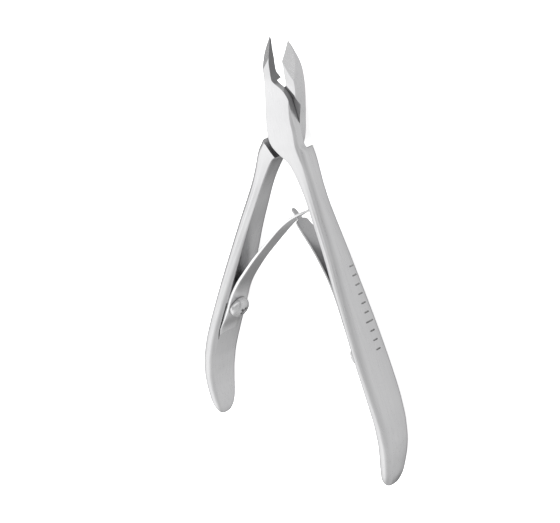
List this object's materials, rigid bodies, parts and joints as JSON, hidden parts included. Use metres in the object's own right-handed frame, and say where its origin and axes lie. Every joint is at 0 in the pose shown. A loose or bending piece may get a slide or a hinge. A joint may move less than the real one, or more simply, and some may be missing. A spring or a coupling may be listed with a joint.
{
  "type": "cuticle nipper",
  "caption": "Hand nipper for cuticles: two lapped steel levers on a pivot pin, short bevelled jaws, flat handles and a slot-and-tongue pair of leaf springs that pushes them open.",
  "frame": {"origin": "under the middle of the tool's outline, on the surface it lies on, with the handles fully open", "axes": "+Z along the pivot axis, out of the front face; +Y along the tool from the handle ends to the jaw tips; +X completes a right-handed frame, towards the front half's handle"},
  "size_m": [0.0586, 0.097, 0.0088],
  "materials": {
    "satin_steel": "satin",
    "spring_steel": "satin",
    "screw_steel": "polished",
    "pin_steel": "satin"
  },
  "bodies": {
    "front": {"front_half": "satin_steel", "pivot_pin": "pin_steel", "right_spring_screw": "screw_steel"},
    "rear": {"rear_half": "satin_steel", "left_spring_screw": "screw_steel"},
    "left_leaf": {"left_spring": "spring_steel"},
    "right_leaf": {"right_spring": "spring_steel"}
  },
  "joints": [
    {"name": "pivot", "type": "hinge", "parent": "front", "child": "rear", "pos_m": [0, 0.03216, 0.00442], "axis": [0, 0, 1], "range_deg": [0, 18], "stiffness_Nm_per_rad": 1, "springref_deg": -5.73},
    {"name": "left_leaf_bend", "type": "hinge", "parent": "rear", "child": "left_leaf", "pos_m": [-0.02035, -0.01848, 0.00442], "axis": [0, 0, 1], "range_deg": [-0.2, 4.3], "deforming": ["left_spring"]},
    {"name": "right_leaf_bend", "type": "hinge", "parent": "front", "child": "right_leaf", "pos_m": [0.02035, -0.01848, 0.00442], "axis": [0, 0, 1], "range_deg": [-9.6, 0.2], "deforming": ["right_spring"]}
  ],
  "couplings": [
    {"joint": "left_leaf_bend", "follows": "pivot", "ratio": 0.2253},
    {"joint": "right_leaf_bend", "follows": "pivot", "ratio": -0.5142}
  ]
}
